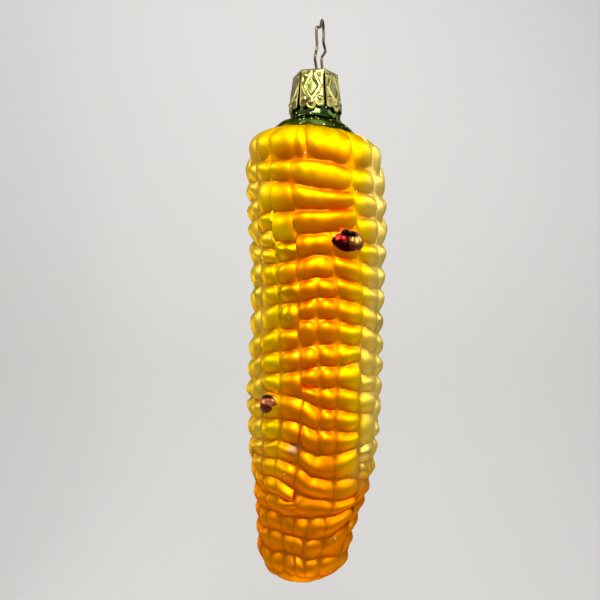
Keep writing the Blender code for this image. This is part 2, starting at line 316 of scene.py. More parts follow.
def rowHeight(file, edge):
    file %= files
    if edge == len(cobForm["rowEdges"]):
        return rowHeight(file, edge - 1) - cobForm["lastRow"]
    if file in cobForm["frontRows"]:
        return cobForm["frontRows"][file][edge]
    shifts = list(zip(cobForm["anchors"], cobForm["backShift"][file]))
    return cobForm["rowEdges"][edge] + between(shifts, edge)


# height of a row edge where its file ends: side 0 is the left one, 1 the right
def rowEnd(file, edge, side):
    own = rowHeight(file, edge)
    drop = between(cobForm["slant"].get(file % files, [(0, 0.0)]), own)
    return own + (-drop / 2 if side else drop / 2)


# an even column is a file's first side, an odd one its second
def cobPoint(column, radius, z, tilt=0.0):
    file, side = divmod(column, 2)
    gap = math.degrees(cobForm["gap"] / 2 / max(radius, cobForm["gapRadius"]))
    a = math.radians(between(edgeLines[file + side], z) + (-gap if side else gap))
    x = radius * math.sin(a) + between(cobForm["middle"], z)
    return Vector((x, -radius * math.cos(a), z - tilt * x))


def shoulderLean(z):
    start, over = cobForm["tiltFrom"]
    return cobForm["shoulderTilt"] * min(1.0, max(0.0, (start - z) / over))


# rings of cage points: up the inside, over the neck's rim and down the outside
def cobRings():
    rings = []
    for z, radius in cobForm["bore"]:
        lean = shoulderLean(z) if z > cobForm["boreTiltEnd"] else 0.0
        rings.append([cobPoint(c, radius, z, lean) for c in range(columns)])
    for z, radius in cobForm["neck"] + cobForm["shoulder"]:
        rings.append([cobPoint(c, radius, z, shoulderLean(z)) for c in range(columns)])
    rise = cobForm["kernelRise"]
    for c in range(columns):
        rowEnds[c] = []
    for edge in range(rowCount):
        heights = []
        for c in range(columns):
            file, side = divmod(c, 2)
            here = rowEnd(file, edge, side)
            own = [rowEnd(file, e, side) for e in range(rowCount)]
            beside = [rowEnd(file + (1 if side else -1), e, 1 - side)
                      for e in range(rowCount)]
            there = min(beside, key=lambda z: abs(z - here))
            back = min(own, key=lambda z: abs(z - there))
            meets = back == here and abs(there - here) < cobForm["meeting"]
            heights.append((here + there) / 2 if meets else here)
            rowEnds[c].append(heights[-1])
        rings.append([cobPoint(c, between(cobForm["profile"], z) - rise, z)
                      for c, z in enumerate(heights)])
    low = [p.z for p in rings[-1]]
    for share in cobForm["domeShares"]:
        heights = [z + (cobForm["tip"][2] - z) * share for z in low]
        sink = rise * (1 - share) * cobForm["domeSink"]
        rings.append([cobPoint(c, between(cobForm["profile"], z) - sink, z)
                      for c, z in enumerate(heights)])
    return rings


# a tube closed at both ends, with each of its rings moved to its place
def cobCage():
    rings = cobRings()
    cage = steppedTube("glassCob", columns, len(rings))
    bpy.ops.mesh.merge(type="CENTER")
    bpy.ops.object.mode_set(mode="OBJECT")
    for v in cage.data.vertices:
        v.select = abs(v.co.z) < 0.5
    bpy.ops.object.mode_set(mode="EDIT")
    bpy.ops.mesh.extrude_region_move(TRANSFORM_OT_translate={"value": (0, 0, 1)})
    bpy.ops.mesh.merge(type="CENTER")
    faceOutwards(cage)

    step = 360 / columns
    corners, cells = {}, {}  # ring and column of each vertex, and of each face
    for v in cage.data.vertices:
        corners[v.index] = (round(-v.co.z),
                            round(math.degrees(math.atan2(v.co.x, -v.co.y)) / step) % columns)
    for face in cage.data.polygons:
        c = face.center
        angle = math.degrees(math.atan2(c.x, -c.y)) % 360
        cells[face.index] = (math.floor(-c.z), math.floor(angle / step) % columns)
    for v in cage.data.vertices:
        ring, column = corners[v.index]
        if ring < 0:
            v.co = (Vector(cobForm["innerTip"]) - hookPlace) * mm
        elif ring >= len(rings):
            v.co = (Vector(cobForm["tip"]) - hookPlace) * mm
        else:
            v.co = (rings[ring][column] - hookPlace) * mm
    return cage, corners, cells


# each kernel's row, bands and columns: a wide bar is one kernel
def kernelGroups():
    groups = []
    for k in range(files):
        band = row = 0
        while band <= rowCount:
            tall = band == 0 or (band == cobForm["tallBand"]
                                 and k not in cobForm["splitFiles"])
            bar = next((b for b in cobForm["bars"]
                        if b[0] <= k <= b[1] and b[2] == band), None)
            last = bar[1] if bar else k
            if not bar or k == bar[0]:
                groups.append({"row": row, "bands": (band, band + tall),
                               "columns": (2 * k, 2 * last)})
            band += 1 + tall
            row += 1
    return groups


# marks each kernel's faces and insets them, for fine faces along the grooves
def markKernels(cage, corners, cells):
    groups = kernelGroups()
    kernelOf = {(c, b): n for n, g in enumerate(groups)
                for c in range(g["columns"][0], g["columns"][1] + 1)
                for b in range(g["bands"][0], g["bands"][1] + 1)}
    firstBand = len(cobForm["bore"]) + len(cobForm["neck"])
    mark = cage.data.attributes.new("kernel", "INT", "FACE")
    fileMark = cage.data.attributes.new("file", "INT", "FACE")
    place = cage.data.uv_layers.new(name="kernelPlace")
    for face in cage.data.polygons:
        ring, column = cells[face.index]
        band = ring - firstBand
        n = kernelOf.get((column, band), plainFace)
        if n < 0 and 0 <= band <= rowCount:
            soft = (column // 2 + 1, band) in cobForm["softGrooves"]
            n = softFace if soft else grooveFace
        elif ring < len(cobForm["bore"]):
            n = insideFace
        mark.data[face.index].value = n
        fileMark.data[face.index].value = column // 2
        for corner in face.loop_indices:
            vertexRing, vertexColumn = corners[cage.data.loops[corner].vertex_index]
            if n in (plainFace, insideFace):
                place.data[corner].uv = (0.5, 0.5)
                continue
            if n >= 0:
                g = groups[n]
            else:  # its two sides go with the kernels beside them
                besideColumn = (column - 1 if vertexColumn == column else column + 1) % columns
                g = groups[kernelOf[(besideColumn, band)]]
            spans = g["columns"][1] + 1 - g["columns"][0]
            u = (vertexColumn - g["columns"][0]) % columns
            widths = [1 if i % 2 == 0 else cobForm["floorShare"] for i in range(spans)]
            u = sum(widths[:u]) / sum(widths) if n >= 0 else float(vertexColumn != column)
            v = 1 - (vertexRing - firstBand - g["bands"][0]) / (g["bands"][1] + 1 - g["bands"][0])
            place.data[corner].uv = (u, v)

    for parity in (0, 1):
        marks = [m.value for m in cage.data.attributes["kernel"].data]
        selectFaces(cage, [i for i, n in enumerate(marks)
                           if n >= 0 and groups[n]["row"] % 2 == parity])
        for width in cobForm["insets"]:
            bpy.ops.mesh.inset(thickness=width * mm, depth=0, use_boundary=True,
                               use_even_offset=True, use_interpolate=True)
        bpy.ops.object.mode_set(mode="OBJECT")
    # creases between kernels and groove floors keep the grooves in place when subdivided
    marks = [m.value for m in cage.data.attributes["kernel"].data]
    sides = {}
    for face in cage.data.polygons:
        for key in face.edge_keys:
            sides.setdefault(key, set()).add(marks[face.index])
    crease = cage.data.attributes.new("crease_edge", "FLOAT", "EDGE")
    crease.data.foreach_set("value", [
        float(len(sides[edge.key]) > 1 and not sides[edge.key] & {plainFace, insideFace})
        for edge in cage.data.edges])
    return groups


# gives each kernel its size in mm and its own small differences
def measureKernels(groups):
    rng = random.Random(cobForm["seed"])
    skew = cobForm["skewSide"]
    for g in groups:
        firstBand, lastBand = g["bands"]
        spread = cobForm["riseSpread"][firstBand >= cobForm["lowBand"]]
        g["rise"] = 1 + rng.uniform(-1, 1) * spread
        g["skewUp"] = rng.uniform(*cobForm["skewUp"])
        g["skewSide"] = rng.uniform(-skew, skew)
        file, lastFile = g["columns"][0] // 2, g["columns"][1] // 2
        bottom = rowHeight(file, lastBand - 1)
        top = rowHeight(file, firstBand - 2) if firstBand > 1 else cobForm["shoulder"][0][0]
        left = between(edgeLines[file], bottom)
        wide = between(edgeLines[lastFile + 1], bottom) - left
        radius = between(cobForm["profile"], (bottom + top) / 2)
        g["wide"], g["high"] = math.radians(wide) * radius, top - bottom
        g["dips"] = [(between(edgeLines[f], bottom) - left) / wide
                     for f in range(file + 1, lastFile + 1)]
        g["beetle"] = any(file <= f <= lastFile and firstBand <= band <= lastBand
                          for f, band in cobForm["beetles"])


# height of a rounded swelling, from its distances to its two edges in mm
def roll(toLow, toHigh, reaches, soft=0.0):
    low, high = reaches
    fit = min(cobForm["rollFit"], (toLow + toHigh) / (low + high))
    away = min(1.0, toLow / (low * fit), toHigh / (high * fit))
    sharp = 1 - (1 - away) ** 2
    return sharp + (smoothStep(0.0, 1.0, away) - sharp) * soft


# the kernel beside this side of a file at height z, and how far up it z is, 0 to 1
def kernelBeside(file, side, z, kernelOf):
    ends = [cobForm["shoulder"][0][0], cobForm["shoulder"][1][0]] + rowEnds[
        (2 * file + side) % columns]
    band = 0
    while band < rowCount and z < ends[band + 1]:
        band += 1
    g = kernelOf[(file % files, band)]
    first, last = g["bands"]
    down = band - first + (ends[band] - z) / (ends[band] - ends[band + 1])
    return g, min(1.0, max(0.0, 1 - down / (last + 1 - first)))


# how far a kernel rises, u across and v up it, beside a groove of this depth
def kernelRise(g, u, v, depth, soft, reaches):
    up = v + g["skewUp"] * 4 * v * (1 - v)
    across = min(1.0, max(0.0, u + g["skewSide"] * 4 * u * (1 - u)))
    reach = cobForm["sideReach"]
    side = depth * (1 - roll(across * g["wide"], (1 - across) * g["wide"], (reach, reach),
                             soft))
    notchDepth, notchWide = cobForm["notch"]
    for dip in g["dips"]:
        off = (u - dip) * g["wide"] / notchWide
        side += notchDepth * math.exp(-off * off)
    high = g["high"]
    rise = g["rise"] * max(0.0, roll(up * high, (1 - up) * high, reaches, soft) - side)
    if g["row"] == 0:
        rise *= cobForm["firstRow"] * (1 - smoothStep(*cobForm["firstFade"], v))
    return rise * cobForm["underBeetle"] if g["beetle"] else rise


# each vertex's rise, how far it is on a kernel's underside, and how much painted groove shade it
# takes
def kernelRises(mesh, groups, marks):
    kernelOf = {(file, band): g for g in groups
                for file in range(g["columns"][0] // 2, g["columns"][1] // 2 + 1)
                for band in range(g["bands"][0], g["bands"][1] + 1)}
    fileOf = [m.value for m in mesh.attributes["file"].data]
    place = mesh.uv_layers["kernelPlace"].data
    filesFull, filesLow, lowShare = cobForm["lowFiles"]
    softHigh, softFull, softMost = cobForm["softLow"]
    grooveShadeReach, grooveShadeFloor, grooveShadeSoft = cobForm["grooveShade"]
    rises = [None] * len(mesh.vertices)
    under = [0.0] * len(mesh.vertices)
    grooveShade = [0.0] * len(mesh.vertices)
    for face in mesh.polygons:
        n = marks[face.index]
        for corner in face.loop_indices:
            i = mesh.loops[corner].vertex_index
            if n in (plainFace, insideFace):
                rises[i] = 0.0 if rises[i] is None else min(rises[i], 0.0)
                continue
            u, v = (min(1.0, max(0.0, c)) for c in place[corner].uv)
            z = mesh.vertices[i].co.z / mm
            low = 1 - smoothStep(filesLow, filesFull, z)
            depth = cobForm["fileDepth"] * (1 - (1 - lowShare) * low)
            soft = softMost * (1 - smoothStep(softFull, softHigh, z))
            reaches = [a + (b - a) * low
                       for a, b in zip(cobForm["rollReach"], cobForm["lowRollReach"])]
            if n in (grooveFace, softFace):
                file = fileOf[face.index]
                one, oneUp = kernelBeside(file, 1, z, kernelOf)
                other, otherUp = kernelBeside(file + 1, 0, z, kernelOf)
                if n == softFace:
                    depth *= cobForm["softDepth"]
                if one["row"] == 0:
                    depth *= cobForm["firstFiles"]
                rise = kernelRise(one, 1.0, oneUp, depth, soft, reaches) * (1 - u)
                rise += kernelRise(other, 0.0, otherUp, depth, soft, reaches) * u
            else:
                g = groups[n]
                beside = (g["columns"][1] // 2 + 1) if u > 0.5 else g["columns"][0] // 2
                if any((beside, band) in cobForm["softGrooves"] for band in g["bands"]):
                    depth *= cobForm["softDepth"]
                if g["row"] == 0:
                    depth *= cobForm["firstFiles"]
                rise = kernelRise(g, u, v, depth, soft, reaches)
            rises[i] = rise if rises[i] is None else min(rises[i], rise)
            up = v * (groups[n]["high"] if n >= 0 else cobForm["usualHeight"])
            under[i] = max(under[i], 1 - smoothStep(*cobForm["underHeights"], up))
            # painted shade: a darker tint near a kernel's edges and on the groove floors
            grooveShade[i] = max(grooveShade[i], 1 - smoothStep(0.0, grooveShadeReach, min(v, 1 - v)),
                            grooveShadeFloor * (n == grooveFace), grooveShadeSoft * (n == softFace))
    return rises, under, grooveShade


# the body and its end are made round again, and the lines of the grooves stray a little
def roundBody(mesh, inside):
    noise.seed_set(cobForm["seed"])
    domeTop, domeDrop, square = cobForm["dome"]
    domeWide = between(cobForm["profile"], domeTop) - cobForm["kernelRise"]
    slight, strong, strayScale = cobForm["stray"]
    for i, v in enumerate(mesh.vertices):
        q = v.co / mm + hookPlace
        if i in inside or q.z > cobForm["bodyTop"]:
            continue
        amount = (slight + (strong - slight) * (1 - smoothStep(*cobForm["strayLow"], q.z))) * (
            smoothStep(*cobForm["strayFrom"], q.z))
        push = noise.noise_vector(v.co * strayScale) * amount
        sideways = Vector((-q.y, q.x, 0)).normalized()
        q += sideways * push.x + Vector((0, 0, push.y))
        away = Vector((q.x - between(cobForm["middle"], q.z), q.y, q.z - domeTop))
        radius = math.hypot(away.x, away.y)
        if q.z > domeTop:
            tilt = cobForm["shoulderTilt"] * away.x * smoothStep(*cobForm["tiltEnd"], q.z)
            upright = q.z + tilt
            wanted = between(cobForm["profile"], upright) - cobForm["kernelRise"]
            fit = 1 + (wanted / radius - 1) * smoothStep(*cobForm["roundFrom"], upright)
            away.x *= fit
            away.y *= fit
        else:
            away /= ((radius / domeWide) ** square
                     + (abs(away.z) / domeDrop) ** square) ** (1 / square)
        z = domeTop + away.z
        q = Vector((between(cobForm["middle"], z) + away.x, away.y, z))
        v.co = (q - hookPlace) * mm


# every kernel swells from its grooves, no two quite the same
def swellKernels(cob, groups):
    mesh = cob.data
    marks = [m.value for m in mesh.attributes["kernel"].data]
    inside = {i for face in mesh.polygons if marks[face.index] == insideFace
              for i in face.vertices}
    measureKernels(groups)
    rises, under, grooveShade = kernelRises(mesh, groups, marks)
    roundBody(mesh, inside)
    mesh.update()
    # masks for painted shade: in the grooves, and on kernel undersides
    mesh.attributes.new("grooveShade", "FLOAT", "POINT").data.foreach_set("value", grooveShade)
    mesh.attributes.new("under", "FLOAT", "POINT").data.foreach_set("value", under)
    out = [v.normal.copy() for v in mesh.vertices]
    height, scale, fineHeight, fineScale = cobForm["waviness"]
    for i, v in enumerate(mesh.vertices):
        z = v.co.z / mm
        wave = 0.0
        if i not in inside and z < cobForm["wavesBelow"]:
            wave = noise.noise(v.co * scale) * height + noise.noise(v.co * fineScale) * fineHeight
        wave *= 1 + cobForm["lowWaviness"] * (1 - smoothStep(*cobForm["wavesLow"], z))
        rise = rises[i] * between(cobForm["relief"], z) * cobForm["kernelRise"]
        v.co += out[i] * (rise + wave) * mm


# angle from the front and height of a point, in degrees and mm
def cobField(p):
    q = p / mm + hookPlace
    return math.degrees(math.atan2(q.x - between(cobForm["middle"], q.z), -q.y)), q.z


cobPaint = {
    # degrees: where the sprayed stripe starts, is full, begins to fade and ends
    "orangeBand": (-36, -14, 12, 36),
    "orangeTopShift": (-9, -61, -55),    # its left side moves left between these heights
    "orangeBandHeights": (-33, -60),     # it grows to its lower strength between these
    # shares of orange on kernel tops, lower than on undersides so the tops read as painted
    # highlight: upper rows, lower rows and lower end
    "topSprayAndHighlight": (0.05, 0.85, 0.9),
    "underShade": 0.25,        # share on their undersides away from the stripe: painted shade
    "sprayStray": (90, 9),     # scale and degrees of the spray's uneven edges
    "paleFlankSheen": (34, 64, 116, 146),         # degrees: the paler flank on the right, a painted sheen
    "paleFlankSheenLeft": (-146, -116, -66, -40),   # and a fainter one on the left
    "paleFlankSheenLeftShare": 0.35,
    "orangeEndHeights": (-108, -132),    # the lower end turns orange between these
    "endStray": 0.6,           # mm by which that edge moves for a degree of stray
    "orangeEnd": 0.95,         # how far the lower end's shares take over
    "orangeTip": (-139, -147, 0.9),      # from here to here it thins out, to this share
    # smooth spots where moulded marks show: degrees, mm, half width and half height in mm
    "glossy": [(-29, -64.4, 3.4, 2.6), (-28, -74.6, 3.2, 2.2), (-27, -80.3, 3.2, 2.2),
               (-71, -73.3, 4.0, 3.5), (71, -82.6, 4.0, 3.5), (51, -115.4, 2.8, 2.2),
               (51, -120.2, 2.8, 2.2)],
    "glossShare": 0.5,
    "worn": [(-17.5, -114.0, 1.5, 1.3)],  # and one where the lacquer has rubbed off
    "greenEdge": 12.5,         # how far from the neck's axis the green reaches
    "greenSoft": 0.9,          # half width of its edge
    "greenStray": (160, 0.8),  # scale and mm of its uneven edge
    "greenHeights": (-34.5, -33.0),      # it ends between these
    # the groove tint is painted shade, and the pale flank tint a painted sheen
    "colours": {"yellow": "#FFD000", "orange": "#FF8600", "groove": "#B85C08",
                "paleFlankSheen": "#F6D870", "worn": "#8E6040", "leafDark": "#3E5230",
                "leafLight": "#587036", "glitter": "#FFF0C0", "edge": "#A09A78"},
}


# 1 inside any of these oval spots, 0 outside
def spotShare(spots, angle, z, radius, edge=0.3):
    best = 0.0
    for at, height, halfWide, halfHigh in spots:
        across = math.radians((angle - at + 180) % 360 - 180) * radius / halfWide
        away = math.hypot(across, (z - height) / halfHigh)
        best = max(best, 1 - smoothStep(1 - edge, 1 + edge, away))
    return best


# how orange the lacquer is, with painted shade on kernel undersides and painted highlight on
# their tops, and how far this place is the lower end
def orangeShare(angle, z, stray, under):
    a0, a1, a2, a3 = cobPaint["orangeBand"]
    shift, shiftLow, shiftHigh = cobPaint["orangeTopShift"]
    upper = shift * smoothStep(shiftLow, shiftHigh, z)
    stripe = smoothStep(a0 + upper, a1 + upper, angle + stray) * (
        1 - smoothStep(a2, a3, angle + stray))
    high, low = cobPaint["orangeBandHeights"]
    lower = 1 - smoothStep(low, high, z)
    highTop, lowTop, endTop = cobPaint["topSprayAndHighlight"]
    # tops take less orange than undersides: painted highlight on top, painted shade below
    above = stripe * (highTop + (lowTop - highTop) * lower)
    below = cobPaint["underShade"] + (1 - cobPaint["underShade"]) * stripe
    start, full = cobPaint["orangeEndHeights"]
    end = cobPaint["orangeEnd"] * (1 - smoothStep(full, start,
                                                  z + stray * cobPaint["endStray"]))
    above += (endTop - above) * end
    below += (1 - below) * end
    tipHigh, tipLow, tipShare = cobPaint["orangeTip"]
    thinned = tipShare + (1 - tipShare) * smoothStep(tipLow, tipHigh, z)
    return (above + (below - above) * under) * thinned, end


# how much orange (sprayed, with painted shade and highlight), green, painted flank sheen, gloss
# and wear the lacquer has at each point
def paintCob(cob):
    mesh = cob.data
    names = ("sprayAndShade", "green", "gloss", "worn", "paleFlankSheen")
    values = {name: [0.0] * len(mesh.vertices) for name in names}
    under = mesh.attributes["under"].data
    neckX = cobForm["middle"][-1][1]
    sprayScale, sprayDegrees = cobPaint["sprayStray"]
    greenScale, greenMove = cobPaint["greenStray"]
    soft = cobPaint["greenSoft"]
    for i, v in enumerate(mesh.vertices):
        angle, z = cobField(v.co)
        q = v.co / mm + hookPlace
        radius = math.hypot(q.x - between(cobForm["middle"], z), q.y)
        stray = noise.noise(v.co * sprayScale) * sprayDegrees
        values["sprayAndShade"][i], end = orangeShare(angle, z, stray, under[i].value)
        fromAxis = math.hypot(q.x - neckX, q.y) + noise.noise(v.co * greenScale) * greenMove
        top = smoothStep(*cobPaint["greenHeights"], z + cobForm["shoulderTilt"] * q.x)
        values["green"][i] = top * (1 - smoothStep(-soft, soft,
                                                   fromAxis - cobPaint["greenEdge"]))
        # painted sheen: the flanks turn paler
        p0, p1, p2, p3 = cobPaint["paleFlankSheen"]
        right = smoothStep(p0, p1, angle + stray) * (1 - smoothStep(p2, p3, angle))
        p0, p1, p2, p3 = cobPaint["paleFlankSheenLeft"]
        left = smoothStep(p0, p1, angle) * (1 - smoothStep(p2, p3, angle + stray))
        values["paleFlankSheen"][i] = max(right, cobPaint["paleFlankSheenLeftShare"] * left) * (1 - end)
        values["gloss"][i] = cobPaint["glossShare"] * spotShare(
            cobPaint["glossy"], angle, z, radius)
        values["worn"][i] = spotShare(cobPaint["worn"], angle, z, radius, 0.5)
    for name in names:
        layer = mesh.attributes.new(name, "FLOAT", "POINT")
        layer.data.foreach_set("value", values[name])


# blown glass silvered inside and sprayed outside: tinted satin reflections, with painted shade in
# the grooves and on kernel undersides, painted highlight on kernel tops and painted sheen on the
# flanks
def satinLacquerOverSilvering():
    mat = newMaterial("silveredGlassSatinLacquer")
    tints = {name: linearColour(text) for name, text in cobPaint["colours"].items()}
    layer = {name: addNode(mat, "ShaderNodeAttribute", attribute_name=name).outputs["Fac"]
             for name in ("sprayAndShade", "green", "gloss", "worn", "paleFlankSheen", "grooveShade")}
    place = addNode(mat, "ShaderNodeTexCoord").outputs["Object"]
    # blotches of spray, about 6 mm across, shift the share of orange both ways
    blotches = addNode(mat, "ShaderNodeTexNoise", {"Vector": place, "Scale": 160.0,
                                                   "Detail": 3.0}).outputs["Fac"]
    sprayed = addNode(mat, "ShaderNodeMath", {0: blotches, 1: 0.35, 2: layer["sprayAndShade"]},
                      operation="MULTIPLY_ADD")
    orange = addNode(mat, "ShaderNodeMath", {0: sprayed.outputs[0], 1: 0.175},
                     operation="SUBTRACT", use_clamp=True)
    # painted shade: the grooves are tinted darker
    grooveShadeShare = addNode(mat, "ShaderNodeMath", {0: layer["grooveShade"], 1: 0.6},
                       operation="MULTIPLY")
    # glitter: flecks in nearly half of the green's 1 mm cells, and here and there elsewhere
    flakes = addNode(mat, "ShaderNodeTexVoronoi", {"Vector": place, "Scale": 1000.0})
    near = addNode(mat, "ShaderNodeMath", {0: flakes.outputs["Distance"], 1: 0.2},
                   operation="LESS_THAN")
    pick = addNode(mat, "ShaderNodeSeparateColor", {"Color": flakes.outputs["Color"]})
    rare = addNode(mat, "ShaderNodeMapRange", {"Value": layer["green"], "To Min": 0.992,
                                               "To Max": 0.55})
    some = addNode(mat, "ShaderNodeMath", {0: pick.outputs[0], 1: rare.outputs[0]},
                   operation="GREATER_THAN")
    fleck = addNode(mat, "ShaderNodeMath", {0: near.outputs[0], 1: some.outputs[0]},
                    operation="MULTIPLY")
    leaf = addNode(mat, "ShaderNodeMix", {"Factor": blotches, 6: tints["leafDark"],
                                          7: tints["leafLight"]}, data_type="RGBA")
    colour = addNode(mat, "ShaderNodeMix", {"Factor": orange.outputs[0], 6: tints["yellow"],
                                            7: tints["orange"]}, data_type="RGBA")
    # mixed over the lacquer: painted groove shade, painted flank sheen, real wear, green paint
    # and glitter
    for share, over in ((grooveShadeShare.outputs[0], tints["groove"]), (layer["paleFlankSheen"], tints["paleFlankSheen"]),
                        (layer["worn"], tints["worn"]), (layer["green"], leaf.outputs[2]),
                        (fleck.outputs[0], tints["glitter"])):
        colour = addNode(mat, "ShaderNodeMix", {"Factor": share, 6: colour.outputs[2],
                                                7: over}, data_type="RGBA")
    metal = addNode(mat, "ShaderNodeMapRange", {"Value": fleck.outputs[0], "To Min": 1.0,
                                                "To Max": 0.4})
    shine = addNode(mat, "ShaderNodeMath", {0: layer["green"], 1: layer["gloss"]},
                    operation="MAXIMUM")
    rough = addNode(mat, "ShaderNodeMapRange", {"Value": shine.outputs[0], "To Min": 0.48,
                                                "To Max": 0.22})
    # satin frost, drawn as 0.4 mm ripples because the real ones are too fine to show
    frost = addNode(mat, "ShaderNodeTexNoise", {"Vector": place, "Scale": 2500.0,
                                                "Detail": 2.0}).outputs["Fac"]
    bump = addNode(mat, "ShaderNodeBump", {"Height": frost, "Strength": 0.06,
                                           "Distance": 0.0001})
    shader = addNode(mat, "ShaderNodeBsdfPrincipled",
                     {"Base Color": colour.outputs[2], "Metallic": metal.outputs[0],
                      "Specular Tint": tints["edge"], "Roughness": rough.outputs[0],
                      "Normal": bump.outputs[0]})
    addNode(mat, "ShaderNodeOutputMaterial", {"Surface": shader.outputs[0]})
    return mat


cob, corners, cells = cobCage()
groups = markKernels(cob, corners, cells)
applyModifier(cob, "SUBSURF", levels=2, render_levels=2)
swellKernels(cob, groups)
paintCob(cob)
makeActive(cob)
bpy.ops.object.shade_smooth_by_angle(angle=math.radians(40))
cob.data.materials.append(satinLacquerOverSilvering())
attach(cob, "root")
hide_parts("glass_cob")
print("glass cob:", len(cob.data.polygons), "faces")


# crown cap

capForm = {
    "axis": -1.3,              # its place from side to side in the drawing
    "sheet": 0.3,
    "corner": 6.25,            # top corners from the axis
    "foot": 7.2,               # radius of the round foot
    "turn": 20.4,              # angle of one corner
    "panels": 6,
    "top": -15.0,
    "round": -24.0,            # the six sides have turned round at this height
    # the bend from the top into the sides: in from the side, down from the top
    "bend": [(1.0, 0.0), (0.6, 0.0), (0.36, 0.05), (0.16, 0.16), (0.04, 0.36), (0.0, 0.62)],
    "plateIn": 0.85,           # the flat top's corners are this far inside the sides
    "plateDrop": 0.02,         # and its face this far below the bend
    "slitStart": 1.0,          # depth at which the slits between the sides begin
    "slit": (0.4, 0.7),        # their width at the top and at the foot
    "footHeight": -24.8,
    # of a side's foot: middle and half width as shares of its width, depth
    "scallops": [(0.17, 0.17, 0.9), (0.5, 0.19, 1.8), (0.83, 0.17, 0.9)],
    "grid": (60, 96),          # faces across and down a side
    "wireHoles": [(-1.08, -2.6), (0.75, 2.04)],
    "holeRadius": 0.72,
    "weld": 0.03,              # points of two sides this near are joined
    # stamped relief: one arm of the ogee as across from the middle, down from the top
    "arm": [(0.72, 0.9), (0.78, 1.7), (1.15, 2.9), (1.75, 4.0), (2.25, 5.0), (1.7, 6.1),
            (0.9, 7.3), (0.0, 8.5)],
    "armSize": (0.75, 0.22),    # half width and height
    "panelWidth": 6.2,
    # half width of the sunk lozenge inside the arms, by distance down, its depth and edge
    "lozenge": [(2.2, 0.0), (5.0, 1.75), (8.2, 0.0)],
    "lozengeDepth": 0.1,
    "lozengeEdge": (-0.1, 0.4),
    # raised border: half width and height, distance of its sides from the middle, and
    # the depth from which it has sides
    "border": (0.4, 0.1),
    "borderSide": 2.8,
    "borderFrom": 1.4,
    "reliefFrom": (0.5, 1.6),  # the stamping grows between these depths
    "beads": [(1.95, 1.9, 0.62), (2.1, 8.3, 0.66), (0.0, 9.5, 0.66)],
    "beadHeight": 0.32,
    "smoothing": 3,            # rounds of evening out, as thin sheet takes a stamp
    # the sunk tint is painted shade on the stamping's low parts
    "colours": {"dark": "#8E8040", "light": "#AC9E5C", "sunk": "#5E6234"},
}
capMiddle = (Vector((capForm["axis"], 0, 0)) - hookPlace) * mm


# distance from (x, y) to a line through points
def fromLine(points, x, y):
    best = math.inf
    for (x0, y0), (x1, y1) in zip(points, points[1:]):
        dx, dy = x1 - x0, y1 - y0
        t = min(1.0, max(0.0, ((x - x0) * dx + (y - y0) * dy) / (dx * dx + dy * dy)))
        best = min(best, math.hypot(x - x0 - t * dx, y - y0 - t * dy))
    return best


# height of a panel's foot at this share of its width
def scallop(share):
    drop = max(deep * math.sqrt(max(0.0, 1 - ((share - at) / half) ** 2))
               for at, half, deep in capForm["scallops"])
    return capForm["footHeight"] - drop


# relief of a panel in mm
def stamping(share, z):
    across = abs(share - 0.5) * capForm["panelWidth"]
    down = capForm["top"] - z
    half, high = capForm["armSize"]
    away = fromLine(capForm["arm"], across, down) / half
    relief = high * (1 - away ** 2) ** 1.5 if away < 1 else 0.0
    inside = between(capForm["lozenge"], down) - across
    relief -= capForm["lozengeDepth"] * smoothStep(*capForm["lozengeEdge"], inside)
    for x, y, r in capForm["beads"]:
        away = math.hypot(across - x, down - y) / r
        if away < 1:
            relief = max(relief, capForm["beadHeight"] * (1 - away ** 2) ** 0.8)
    half, high = capForm["border"]
    away = abs(z - scallop(share) - half)
    if down > capForm["borderFrom"]:
        away = min(away, abs(across - capForm["borderSide"]))
    return max(relief, high * (1 - (away / half) ** 2) ** 2) if away < half else relief


# each point of a grid takes the mean of itself and its neighbours along both ways
def evenOut(lift, wide, rounds):
    for _ in range(rounds):
        for step in (1, wide):
            old = list(lift)
            for i in range(step, len(old) - step):
                if step == wide or 0 < i % wide < wide - 1:
                    lift[i] = (old[i - step] + 2 * old[i] + old[i + step]) / 4
    return lift


# one side of the cap with its share of the bend, stamped
def capPanel():
    wide, high = capForm["grid"]
    wedge = 360 / capForm["panels"]
    deselectAll()
    bpy.ops.mesh.primitive_grid_add(x_subdivisions=wide, y_subdivisions=high, size=2)
    panel = bpy.context.object
    bend = capForm["bend"]
    relief = panel.data.attributes.new("relief", "FLOAT", "POINT")
    lift = []
    for i, v in enumerate(panel.data.vertices):
        share = (v.co.x + 1) / 2
        row = round((1 - v.co.y) / 2 * high)
        if row < len(bend):
            inset, z = bend[row][0], capForm["top"] - bend[row][1]
        else:
            t = (row - len(bend) + 1) / (high - len(bend) + 1)
            start = capForm["top"] - bend[-1][1]
            inset, z = 0.0, start + (scallop(share) - start) * t
        down = capForm["top"] - z
        blend = min(1.0, down / (capForm["top"] - capForm["round"]))
        half = 0.0
        if down > capForm["slitStart"]:
            narrow, wideSlit = capForm["slit"]
            half = math.degrees((narrow + (wideSlit - narrow) * blend) / 2 / capForm["corner"])
        angle = half + (wedge - 2 * half) * share
        flat = capForm["corner"] * math.cos(math.radians(wedge / 2))
        six = flat / math.cos(math.radians(angle - wedge / 2))
        radius = six + (capForm["foot"] - six) * blend - inset
        a = math.radians(angle + capForm["turn"])
        lift.append(stamping(share, z) * smoothStep(*capForm["reliefFrom"], down))
        v.co = (Vector((capForm["axis"] + radius * math.sin(a), -radius * math.cos(a), z))
                - hookPlace) * mm
    lift = evenOut(lift, wide + 1, capForm["smoothing"])
    relief.data.foreach_set("value", lift)
    panel.data.update()
    outs = [v.normal.copy() for v in panel.data.vertices]
    for out, raised, v in zip(outs, lift, panel.data.vertices):
        if out.dot(Vector((v.co.x - capMiddle.x, v.co.y - capMiddle.y, 0))) < 0:
            out = -out
        v.co += out * raised * mm
    return panel


